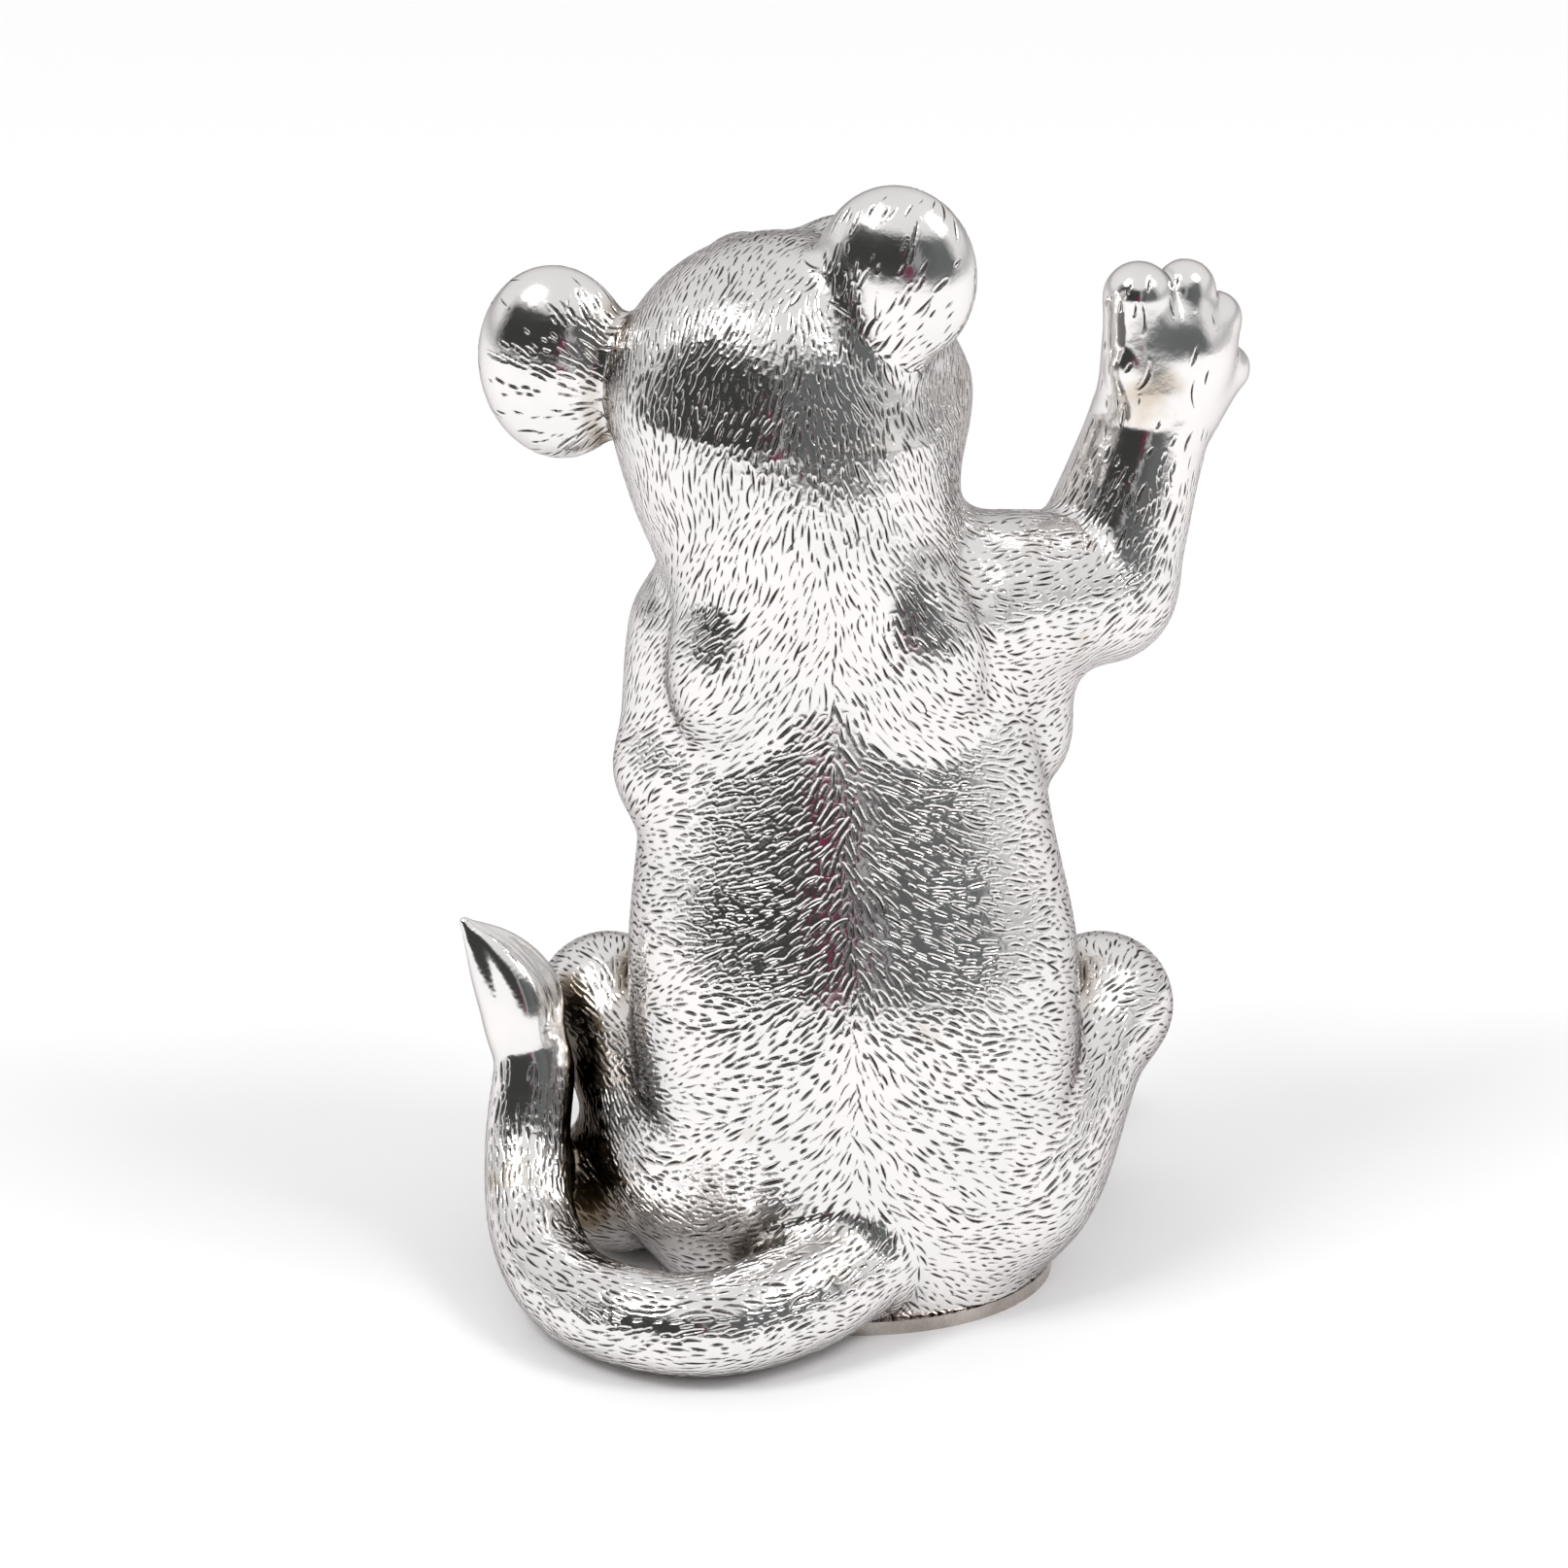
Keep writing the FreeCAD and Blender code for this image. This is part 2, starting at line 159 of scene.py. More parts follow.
TORSO = np.array([              # height, centre across, centre back, half width, half depth
    (0.0, 0.0, -0.5, 16.0, 13.5), (8, 0.0, -0.2, 18.0, 15.4), (18, 0.0, -0.2, 18.8, 15.8),
    (30, 0.3, -0.8, 18.9, 15.4), (40, 0.9, -2.4, 17.4, 14.0), (50, 1.6, -4.0, 16.4, 13.0),
    (58, 2.2, -4.6, 15.2, 12.2), (65, 2.9, -4.8, 12.0, 11.2), (74, 4.6, -5.0, 11.4, 11.0)])
TORSO_SQUARENESS = 2.25         # 2 would be an ellipse
SCAPULAE = ((at(10.5, 4.6, 56.5), (5.0, 5.0, 7.0)), (at(-5.0, 4.8, 57.5), (5.4, 5.2, 7.5)))

HEAD = at(7.2, -5.4, 77.6)
HEAD_AXES = turned(yaw=-20, pitch=-12, roll=17)
NOSE = at(0.0, -21.6, -2.4)     # in the head's own axes, as are the eye and the mouth
EYE = at(5.4, -11.8, 1.5)
EYE_RADIUS = 2.5
EYE_OPENING = 1.5               # half the height between the lids, at the middle
LID = 0.45                      # thickness of the lids
MOUTH = -8.2                    # its height below the nose
HEAD_RADII = at(13.2, 14.0, 12.2)
HEAD_FLATS = (at(-0.30, 0.87, 0.36), at(0.34, 0.86, 0.34))    # which way each of its flat places faces
FLAT_DEPTH = 1.3                # how much of the skull each flat place takes off
HEAD_SEAM = -3.36               # the skull and the face meet here, in the head's own axes
HEAD_LAPS_NECK = 1.2            # how far the head piece reaches down over the neck

LEFT_EAR = at(24.9, -9.6, 78.2)
RIGHT_EAR = at(-3.0, 0.0, 88.8)

LEFT_SHOULDER, LEFT_ELBOW = at(12.8, -4.0, 56.5), at(14.9, -1.6, 45.5)
LEFT_WRIST, LEFT_PAW = at(9.8, -17.0, 47.5), at(8.6, -20.8, 46.4)
RIGHT_SHOULDER, RIGHT_ELBOW = at(-8.5, -4.0, 58.5), at(-20.4, -12.5, 57.5)
RIGHT_WRIST, RIGHT_PAW = at(-24.8, -16.0, 71.0), at(-26.4, -16.5, 76.5)
RAISED_TOES = (                 # root, tip and radius of each, from the thumb's side outward
    (at(-24.0, -14.4, 74.5), at(-23.5, -15.0, 82.1), 3.0),
    (at(-26.3, -16.0, 74.0), at(-27.5, -17.2, 82.0), 2.6),
    (at(-28.0, -17.0, 74.0), at(-30.1, -18.2, 79.2), 2.3),
    (at(-28.4, -17.0, 72.0), at(-31.0, -18.6, 74.6), 2.2))
DEWCLAW = at(-22.6, -13.1, 76.3)

HIP, KNEE, HOCK, FOOT = at(11.6, 1.5, 10.0), at(21.2, -12.0, 19.0), at(17.3, -20.0, 5.4), at(19.5, -30.5, 4.6)

TAIL = smooth_line([            # across, back, up, radius
    (0, 12.0, 6.6, 5.4), (5, 17.3, 5.3, 4.9), (11.5, 21.0, 4.6, 4.4),
    (18.5, 19.6, 4.4, 4.2), (24.2, 14.0, 4.4, 4.0), (27.2, 6.6, 6.4, 3.8),
    (27.9, 1.0, 11.5, 3.6), (27.4, -2.0, 17.5, 3.4), (28.0, -3.0, 20.5, 3.0)], 5)
TUFT_LINE = smooth_line([(27.9, -2.8, 20.0), (28.6, -3.5, 23.5), (30.6, -4.0, 27.0), (33.2, -4.3, 30.0)], 10)
TUFT_STRANDS = 4
TUFT_SPREAD = 1.6               # how far each strand's middle lies from the tuft's
TUFT_RADIUS = 2.15              # of each strand, at its widest


def torso(p):
    x, y, half_width, half_depth = (along_stations(TORSO, k, p[:, 2]) for k in (1, 2, 3, 4))
    across, back = np.abs(p[:, 0] - x) / half_width, np.abs(p[:, 1] - y) / half_depth
    round_ = (across**TORSO_SQUARENESS + back**TORSO_SQUARENESS)**(1 / TORSO_SQUARENESS)
    d = (round_ - 1) * np.minimum(half_width, half_depth) * 0.95
    d = np.maximum(d, p[:, 2] - TORSO[-1, 0])
    for scapula, radii in SCAPULAE:
        d = joined(d, ellipsoid(p, scapula, radii), 2.4)
    d = joined(d, limb(p, at(6.2, -3.4, 77.0), at(3.8, -0.9, 66.0), 11.2, 11.2), 4)   # the nape
    d = joined(d, ellipsoid(p, at(1.5, -12.6, 50.0), (9.0, 5.4, 9.5)), 6)       # the chest
    d = joined(d, ellipsoid(p, at(0.0, -10.0, 24.0), (12.6, 7.0, 14.0)), 6)     # the belly
    return np.maximum(d, PLATE_TOP - p[:, 2])


def scored(d, away, width, depth):
    """The form with a line cut into it, to that depth, wherever the line is nearer than half its width."""
    return carved(d, np.maximum(away - width / 2, -depth - d), 0.3)


def eye(d, m):
    """A round eyeball between two lids, whose opening is an almond."""
    rel = m - EYE.astype(m.dtype)
    opening = EYE_OPENING * (1 - (rel[:, 0] / (EYE_RADIUS + 0.4))**2)
    far = np.linalg.norm(rel, axis=1)
    lids = np.maximum(far - EYE_RADIUS - LID, 0.8 * (opening - np.abs(rel[:, 2] - 0.12 * rel[:, 0])))
    d = carved(d, ellipsoid(m, EYE + at(0.3, -2.6, 0.0), (3.3, 1.5, 2.6)), 1.6)
    d = joined(d, lids, 0.8)
    d = joined(d, far - EYE_RADIUS, 0.1)
    return carved(d, ellipsoid(m, EYE + at(-0.2, -EYE_RADIUS, 0.2), (0.8, 0.4, 0.8)), 0.2)


def face_lines(d, q, m):
    """Nose, eyes and mouth. q is in the head's own axes, and m is q with both sides folded together."""
    nose = joined(ellipsoid(m, NOSE + at(1.3, 0.0, 0.3), (1.9, 1.6, 1.4)),
                  ellipsoid(q, NOSE + at(0.0, 0.0, -1.0), (1.2, 1.5, 1.5)), 0.8)
    d = joined(d, nose, 0.4)
    d = carved(d, ellipsoid(m, NOSE + at(1.5, -1.6, -0.3), (0.8, 0.9, 0.5), turned(roll=-25)), 0.3)
    below_nose = np.maximum(np.abs(q[:, 0]), np.maximum(MOUTH - q[:, 2], q[:, 2] - NOSE[2]))
    d = scored(d, np.where(q[:, 1] < -15, below_nose, FAR), 0.4, 0.4)
    lips = q[:, 2] - MOUTH + 0.45 * m[:, 0] * (1 - m[:, 0] / 4.2)
    mouth = np.maximum(np.abs(lips), m[:, 0] - 5.6)
    d = scored(d, np.where(q[:, 1] < -12, mouth, FAR), 0.5, 0.55)
    return eye(d, m)


def head(p):
    q = (p - HEAD.astype(p.dtype)) @ HEAD_AXES.astype(p.dtype)
    m = q.copy()
    m[:, 0] = np.abs(m[:, 0])
    d = ellipsoid(q, at(0, 0, 0), HEAD_RADII)
    d = joined(d, ellipsoid(q, at(0, 5, -6), (11.0, 9.0, 8.0)), 4)
    for facing in HEAD_FLATS:
        level = np.linalg.norm(HEAD_RADII * (facing @ HEAD_AXES)) - FLAT_DEPTH
        d = carved(d, level - (p - HEAD.astype(p.dtype)) @ facing.astype(p.dtype), 1.5)
    d = joined(d, ellipsoid(m, at(7.6, -7.0, -5.5), (5.4, 7.0, 6.8)), 4)        # cheek
    d = joined(d, ellipsoid(m, at(4.6, -10.5, 6.2), (3.4, 3.4, 2.8)), 2.5)      # brow
    d = joined(d, ellipsoid(q, at(0, -13.5, -3.2), (5.2, 8.0, 5.0)), 3)         # bridge of the muzzle
    d = joined(d, ellipsoid(m, at(3.2, -17.6, -5.4), (3.9, 4.6, 3.5)), 2)       # whisker pad
    d = joined(d, ellipsoid(q, at(0, -15.2, -9.2), (4.4, 5.2, 2.8)), 1.2)       # chin
    return face_lines(d, q, m)


def ear(p, centre, axes, radii):
    d = ellipsoid(p, centre, radii, axes)
    cup = centre + axes @ at(0.0, -4.2, 0.4)
    return carved(d, ellipsoid(p, cup, (radii[0] - 1.6, 4.6, radii[2] - 1.7), axes), 1.0)


def left_ear(p):
    return ear(p, LEFT_EAR, turned(yaw=-8, pitch=8, roll=8), (6.6, 4.3, 8.1))


def right_ear(p):
    return ear(p, RIGHT_EAR, turned(yaw=-14, pitch=8, roll=4), (6.7, 4.3, 7.4))


def toes(p, paw, ahead, side, radius):
    """Four toes side by side, the middle two further forward."""
    d = np.full(len(p), FAR, p.dtype)
    for place in (-1.5, -0.5, 0.5, 1.5):
        tip = paw + ahead * (1.9 - 0.35 * place**2) * radius + side * place * radius * 1.18
        d = joined(d, limb(p, paw + side * place * radius * 0.7, tip, radius * 0.9, radius), 0.3)
    return d


def left_foreleg(p):
    d = limb(p, LEFT_SHOULDER, LEFT_ELBOW, 6.0, 5.1)
    d = joined(d, limb(p, LEFT_ELBOW, LEFT_WRIST, 5.0, 4.1), 1.5)
    d = joined(d, ellipsoid(p, LEFT_PAW, (4.6, 4.0, 3.6)), 2)
    ahead, side = at(-0.25, -0.95, -0.15), at(0.96, -0.25, 0.0)
    return joined(d, toes(p, LEFT_PAW + at(-0.4, -1.6, -0.9), ahead, side, 1.9), 0.5)


def right_foreleg(p):
    d = limb(p, RIGHT_SHOULDER, RIGHT_ELBOW, 8.0, 6.6)
    d = joined(d, limb(p, RIGHT_ELBOW, RIGHT_WRIST, 6.4, 5.2), 1.2)
    d = joined(d, ellipsoid(p, RIGHT_PAW, (5.4, 4.4, 5.8)), 2)
    paw = np.full(len(p), FAR, p.dtype)
    for root, tip, radius in RAISED_TOES:
        paw = joined(paw, limb(p, root, tip, radius * 1.15, radius), 0.5)
    d = joined(d, paw, 1.5)
    d = joined(d, ellipsoid(p, DEWCLAW, (1.9, 1.9, 2.8)), 0.3)
    return joined(d, ellipsoid(p, at(-13.4, -8.0, 50.5), (4.2, 5.5, 8.5), turned(roll=20)), 4)


def hind_leg(p, side):
    m = p * np.array((side, 1, 1), p.dtype)
    d = limb(m, HIP, KNEE, 9.4, 5.9)
    d = joined(d, limb(m, KNEE, HOCK, 5.7, 4.3), 2)
    d = joined(d, limb(m, HOCK - at(0.3, 0, 1.0), FOOT, 4.3, 4.0), 2)
    ahead, side = at(0.2, -0.98, -0.08), at(0.98, 0.2, 0.0)
    return joined(d, toes(m, FOOT + at(0, -0.4, -1.2), ahead, side, 1.95), 0.7)


def left_hind_leg(p):
    """This leg's heel shows beside the tail, flat on the ground."""
    return joined(hind_leg(p, 1), limb(p, at(20.0, -3.0, 6.4), HOCK, 6.2, 4.2), 2)


def right_hind_leg(p):
    return hind_leg(p, -1)


def tuft(p):
    """The smooth brush at the tail's tip: strands side by side that swell, then meet in a point."""
    d = np.full(len(p), FAR, p.dtype)
    share = np.linspace(0, 1, len(TUFT_LINE))[:, None]
    swell = np.sin(np.pi * (0.34 + 0.63 * share))
    for strand in range(TUFT_STRANDS):
        angle = 2 * np.pi * strand / TUFT_STRANDS + 0.5 * share
        ring = np.cos(angle) * at(0.85, 0.25, -0.45) + np.sin(angle) * at(-0.2, 0.97, 0.1)
        d = joined(d, chain(p, TUFT_LINE + ring * swell * TUFT_SPREAD, TUFT_RADIUS * swell[:, 0]), 0.45)
    return d


def tail(p):
    return joined(chain(p, TAIL[:, :3], TAIL[:, 3]), tuft(p), 0.6)


# ---------------------------------------------------------------- how the coat lies

def torso_lie(p):
    """Down the back, parting at the spine like a chevron and turning outward on the flanks."""
    across = p[:, 0] - along_stations(TORSO, 1, p[:, 2])
    back = p[:, 1] - along_stations(TORSO, 2, p[:, 2])
    turn = np.arctan2(across, back)
    spread = 1 - 0.55 * eased(p[:, 2], 48, 64)
    lean = np.radians(17 + 55 * (1 - np.exp(-np.abs(turn) / 0.28))) * spread
    around = np.stack([np.cos(turn), -np.sin(turn), np.zeros(len(p))], 1) * np.sign(turn)[:, None]
    return around * np.sin(lean)[:, None] + DOWN * np.cos(lean)[:, None]


def head_lie(p):
    """Back from the nose over the crown, then down the nape."""
    nose = HEAD + HEAD_AXES @ NOSE
    return unit(p - nose) + DOWN * (0.35 + 0.5 * eased(p[:, 1], -4, 6))[:, None]


def outward_from(root):
    return lambda p: unit(p - root)


def along_limb(joints, mirror=1):
    """Along each bone of a limb in turn, easing from one to the next."""

    def lie(p):
        m = p * np.array((mirror, 1, 1))
        total = np.zeros(p.shape)
        for a, b in zip(joints[:-1], joints[1:]):
            near = limb(m, a, b, 0.0, 0.0)
            total += np.exp(-near / 1.5)[:, None] * unit((b - a)[None])
        return unit(total) * np.array((mirror, 1, 1))
    return lie


# ---------------------------------------------------------------- where the coat is chased or polished

def everywhere(p):
    return np.ones(len(p))


def head_coat(p):
    q = (p - HEAD) @ HEAD_AXES
    q[:, 0] = np.abs(q[:, 0])
    bare = np.minimum(np.linalg.norm(q - NOSE, axis=1) - 3.0, np.linalg.norm(q - EYE, axis=1) - 2.6)
    return eased(bare, 0, 1.0)


def ear_coat(root, height):
    """Thick at the ear's root, and only a few strokes on the polished outer part."""
    return lambda p: 1 - 0.78 * eased(np.linalg.norm(p - root, axis=1) / height, 0.30, 0.70)


def above(level, least):
    """Thick below that height, thinning to the least above it."""
    return lambda p: 1 - (1 - least) * eased(p[:, 2], level - 8, level + 4)


def paw_coat(paw, radius):
    return lambda p: eased(np.linalg.norm(p - paw, axis=1), radius, radius + 4)


def hind_coat(p):
    return eased(p[:, 1], -27.0, -22.0)


def tail_coat(p):
    """None on the tuft or on the smooth outer curve just below it."""
    return 1 - eased(p[:, 2], 15.0, 20.0)


# A part of the cub: its form, its fillet to the rest, how its coat lies and what share of it is chased.
Part = namedtuple("Part", "name form fillet lie chased")


def cub_parts():
    left_root, right_root = LEFT_EAR + at(-6.0, 2.5, -2.0), RIGHT_EAR + at(3.0, 1.5, -7.0)
    raised = (RIGHT_SHOULDER, RIGHT_ELBOW, RIGHT_WRIST, RIGHT_PAW)
    folded = (LEFT_SHOULDER, LEFT_ELBOW, LEFT_WRIST, LEFT_PAW)
    hind = (HIP, KNEE, HOCK, FOOT)
    return [
        Part("torso", torso, 0.0, torso_lie, everywhere),
        Part("head", head, 4.5, head_lie, head_coat),
        Part("left_ear", left_ear, 2.2, outward_from(left_root), ear_coat(left_root, 17.0)),
        Part("right_ear", right_ear, 2.8, outward_from(right_root), ear_coat(right_root, 16.0)),
        Part("left_foreleg", left_foreleg, 2.5, along_limb(folded), paw_coat(LEFT_PAW, 4.5)),
        Part("right_foreleg", right_foreleg, 2.5, along_limb(raised), above(70.0, 0.12)),
        Part("left_hind_leg", left_hind_leg, 1.6, along_limb(hind), hind_coat),
        Part("right_hind_leg", right_hind_leg, 1.6, along_limb(hind, -1), hind_coat),
        Part("tail", tail, 1.8, along_limb(TAIL[:, :3]), tail_coat)]


# ---------------------------------------------------------------- from the field to one mesh

def merged(distances):
    d = distances[0]
    for part, near in zip(PARTS[1:], distances[1:]):
        d = joined(d, near, part.fillet)
    return d


def sample_field():
    """The field on a grid that is fine near the surface and blocky elsewhere, and the coarse grid alone."""
    counts = np.ceil((HIGH - LOW) / COARSE).astype(int)
    axes = [(low + COARSE * (np.arange(count) + 0.5 - 0.5 / FINER)).astype(np.float32)
            for low, count in zip(LOW, counts)]
    cells = np.stack(np.meshgrid(*axes, indexing="ij"), -1).reshape(-1, 3)
    far = [part.form(cells).astype(np.float32) for part in PARTS]
    coarse = np.maximum(merged(far), -cells[:, 2])

    inside_band = np.flatnonzero(np.abs(coarse) < BAND)
    steps = (np.arange(FINER) - (FINER - 1) / 2) * FINE
    offsets = np.stack(np.meshgrid(steps, steps, steps, indexing="ij"), -1).reshape(-1, 3).astype(np.float32)
    points = cells[inside_band][:, None, :] + offsets[None]
    near = []
    for part, rough in zip(PARTS, far):
        d = np.full(points.shape[:2], FAR, np.float32)
        touched = rough[inside_band] < REACH
        d[touched] = part.form(points[touched].reshape(-1, 3)).reshape(-1, FINER**3)
        near.append(d)
    fine = np.maximum(merged(near), -points[:, :, 2])

    blocks = np.repeat(coarse[:, None], FINER**3, axis=1)
    blocks[inside_band] = fine
    blocks = blocks.reshape(*counts, FINER, FINER, FINER).transpose(0, 3, 1, 4, 2, 5)
    return np.ascontiguousarray(blocks).reshape(counts * FINER), coarse.reshape(counts)


def read_grid(grid, spacing, points):
    """The grid's value at each point, from the eight samples round it."""
    place = (points - (LOW + first_sample(spacing))) / spacing
    place = np.clip(place, 0, np.array(grid.shape) - 1.001)
    corner = place.astype(np.int32)
    t = (place - corner).astype(np.float32)
    flat = grid.ravel()
    _, ny, nz = grid.shape
    start = (corner[:, 0] * ny + corner[:, 1]) * nz + corner[:, 2]
    value = np.zeros(len(points), np.float32)
    for i in (0, 1):
        for j in (0, 1):
            for k in (0, 1):
                weight = (t[:, 0] if i else 1 - t[:, 0]) * (t[:, 1] if j else 1 - t[:, 1])
                weight = weight * (t[:, 2] if k else 1 - t[:, 2])
                value += weight * flat[start + (i * ny + j) * nz + k]
    return value


def first_sample(spacing):
    """How far the grid's first sample lies from its low corner."""
    return COARSE * 0.5 * (1 - 1 / FINER) if spacing == COARSE else 0.0


def slope(grid, points):
    """The field's gradient at each point."""
    step = FINE * 0.5
    columns = []
    for axis in np.eye(3) * step:
        columns.append(read_grid(grid, FINE, points + axis) - read_grid(grid, FINE, points - axis))
    return np.stack(columns, 1) / (2 * step)


def settle(grid, points, rounds):
    """Moves each point on to the surface."""
    for _ in range(rounds):
        gradient = slope(grid, points)
        size = np.maximum((gradient**2).sum(1), 0.25)
        points = points - gradient * (read_grid(grid, FINE, points) / size)[:, None]
    return points


def split_quads(points, quads):
    """Each quad as four, with shared points on the edges."""
    edges = np.sort(np.stack([quads, np.roll(quads, -1, axis=1)], 2).reshape(-1, 2), axis=1).astype(np.int64)
    keys, place = np.unique(edges[:, 0] * len(points) + edges[:, 1], return_inverse=True)
    ends = np.stack([keys // len(points), keys % len(points)], 1)
    middles = len(points) + place.reshape(-1, 4)
    centres = len(points) + len(keys) + np.arange(len(quads))
    new_points = np.vstack([points, points[ends].mean(1), points[quads].mean(1)])
    new_quads = [np.stack([quads[:, i], middles[:, i], centres, middles[:, i - 1]], 1) for i in range(4)]
    return new_points, np.stack(new_quads, 1).reshape(-1, 4)


def surface():
    """The sculpture's points and quads, and the field's grids."""
    grid, coarse = sample_field()
    volume = openvdb.FloatGrid()
    volume.copyFromArray(grid)
    points, quads = volume.convertToQuads(0.0)
    points, quads = points * FINE + LOW, quads.astype(np.int64)
    points = settle(grid, points, 1)
    labels = node_of_faces(points[quads].mean(1), quads, len(points))
    points, quads = split_quads(points, quads)
    labels = np.repeat(labels, 4)
    points = settle(grid, points, 1)
    return points, quads, labels, grid, coarse


def part_distances(points):
    return np.stack([part.form(points.astype(np.float32)) for part in PARTS])


def node_of_faces(centres, quads, count):
    """The CAD node that each face stands for, with ragged borders smoothed by their neighbours."""
    names = [part.name for part in PARTS]
    near = part_distances(centres)
    near[names.index("head")] -= HEAD_LAPS_NECK
    owner = np.argmin(near, axis=0)
    for _ in range(4):
        votes = np.zeros((count, len(PARTS)), np.float32)
        for corner in range(4):
            np.add.at(votes, (quads[:, corner], owner), 1)
        owner = np.argmax(votes[quads].sum(1), axis=1)
    nodes = np.array([NODES.index(name) if name in NODES else 0 for name in names])[owner]
    on_torso, on_head = owner == names.index("torso"), owner == names.index("head")
    behind_body = centres[:, 1] > BODY_SEAM
    behind_head = ((centres - HEAD) @ HEAD_AXES)[:, 1] > HEAD_SEAM
    nodes[on_torso & behind_body] = NODES.index("back_shell")
    nodes[on_torso & ~behind_body] = NODES.index("front_shell")
    nodes[on_head & behind_head] = NODES.index("skull_shell")
    nodes[on_head & ~behind_head] = NODES.index("face_shell")
    return nodes


# ---------------------------------------------------------------- fur strokes

PLACES_SEED, SHAPES_SEED = 11, 23
STROKE_TRIES = 150000
STROKE_SPACING = 0.41           # across the coat
STROKE_LENGTH = (0.8, 2.7)
STROKE_WIDTH = (0.12, 0.235)
STROKE_DEPTH = 0.10
RIM_HEIGHT = 0.020
CLEAR = 0.4                     # no stroke's outline matters further away than this
CELLS = 4096                    # more than the model is cells long, when points are sorted into cells


def pairs_near(centres, points, reach):
    """Every centre with each point of the cells round it, as two lists of places, in batches."""
    def key(cells):
        return (cells[:, 0] * CELLS + cells[:, 1]) * CELLS + cells[:, 2]

    low = points.min(0) - 2 * reach
    cells = np.floor((points - low) / reach).astype(np.int64)
    keys = key(cells)
    order = np.argsort(keys, kind="stable")
    keys = keys[order]
    home = np.floor((centres - low) / reach).astype(np.int64)
    for i in (-1, 0, 1):
        for j in (-1, 0, 1):
            middle = key(home + np.array((i, j, 0)))
            first = np.searchsorted(keys, middle - 1, "left")
            last = np.searchsorted(keys, middle + 1, "right")
            count = last - first
            centre = np.repeat(np.arange(len(centres)), count)
            shift = np.arange(count.sum()) - np.repeat(np.cumsum(count) - count, count)
            yield centre, order[np.repeat(first, count) + shift]


def coat(points, normals):
    """The direction in which the coat lies at each point, and the share of strokes that are chased there."""
    near = part_distances(points)
    weights = np.exp(-(near - near.min(0)) / 0.8)
    weights /= weights.sum(0)
    lie = sum(weight[:, None] * part.lie(points) for weight, part in zip(weights, PARTS))
    share = sum(weight * part.chased(points) for weight, part in zip(weights, PARTS))
    lie = unit(lie - normals * (lie * normals).sum(1)[:, None])
    return lie, share


def rotated_about(normals, vectors, angles):
    return vectors * np.cos(angles)[:, None] + np.cross(normals, vectors) * np.sin(angles)[:, None]


def sway(p):
    """How far the coat's lie wanders from place to place, in radians."""
    x, y, z = p.T
    return 0.16 * np.sin(0.55 * x + 0.8 * z) + 0.12 * np.sin(0.9 * y - 0.7 * z + 1.7)


def spaced_out(centres, normals, lie, half):
    """Which strokes stay, when each that stays keeps the later ones out of an oval round it."""
    side = np.cross(normals, lie)
    rivals = []
    for i, j in pairs_near(centres, centres, STROKE_LENGTH[1] * 0.9):
        earlier = j < i
        i, j = i[earlier], j[earlier]
        gap = centres[j] - centres[i]
        room = 0.85 * (half[i] + half[j]) + 0.08
        along = (gap * lie[i]).sum(1) / room
        across = (gap * side[i]).sum(1) / STROKE_SPACING
        deep = (gap * normals[i]).sum(1) / room
        clash = along**2 + across**2 + deep**2 < 1
        rivals.append(np.stack([i[clash], j[clash]]))
    i, j = np.concatenate(rivals, axis=1)
    waiting, accepted = np.ones(len(centres), bool), np.zeros(len(centres), bool)
    while waiting.any():
        blocked = np.zeros(len(centres), bool)
        blocked[i[waiting[i] & waiting[j]]] = True
        new = waiting & ~blocked
        accepted |= new
        waiting &= ~new
        waiting[i[new[j]]] = False
    return accepted


def place_strokes(points, grid):
    """Strokes spread evenly over the coat: centres, normals, directions and half lengths."""
    draw = np.random.default_rng(PLACES_SEED)
    chosen = points[draw.choice(len(points), STROKE_TRIES, replace=False)]
    normals = unit(slope(grid, chosen))
    lie, share = coat(chosen, normals)
    kept = (share > 0.02) & (chosen[:, 2] > 0.8)
    centres, normals, lie, share = chosen[kept], normals[kept], lie[kept], share[kept]
    lie = rotated_about(normals, lie, sway(centres) + draw.normal(0, 0.10, len(centres)))
    shortest, longest = STROKE_LENGTH
    half = (shortest + (longest - shortest) * draw.random(len(centres))**1.5) / 2
    accepted = spaced_out(centres, normals, lie, half)
    accepted &= draw.random(len(centres)) < share
    return centres[accepted], normals[accepted], lie[accepted], half[accepted]


def stroke_outlines(points, normals, strokes):
    """Each point's distance outside the nearest stroke's outline. It is negative inside a stroke."""
    centres, facing, lie, half = strokes
    draw = np.random.default_rng(SHAPES_SEED)
    width = draw.uniform(*STROKE_WIDTH, len(centres)) / 2 * (0.75 + 0.25 * half)
    bend = draw.normal(0, 0.10, len(centres))
    side = np.cross(facing, lie)
    outline = np.full(len(points), CLEAR)
    for i, j in pairs_near(centres, points, STROKE_LENGTH[1] / 2 + 0.2):
        gap = points[j] - centres[i]
        along = (gap * lie[i]).sum(1)
        across = np.abs((gap * side[i]).sum(1) - bend[i] * along**2)
        deep = np.abs((gap * facing[i]).sum(1))
        alike = (normals[j] * facing[i]).sum(1) > 0.2
        near = alike & (across < CLEAR) & (deep < 0.7) & (np.abs(along) < half[i] + CLEAR)
        i, j, along, across = i[near], j[near], along[near], across[near]
        share = np.clip(np.abs(along) / half[i], 0, 1)
        past = np.maximum(np.abs(along) - half[i], 0)
        taper = (1 - share**2)**0.8
        np.minimum.at(outline, j, np.hypot(across, past) - width[i] * taper)
    return outline


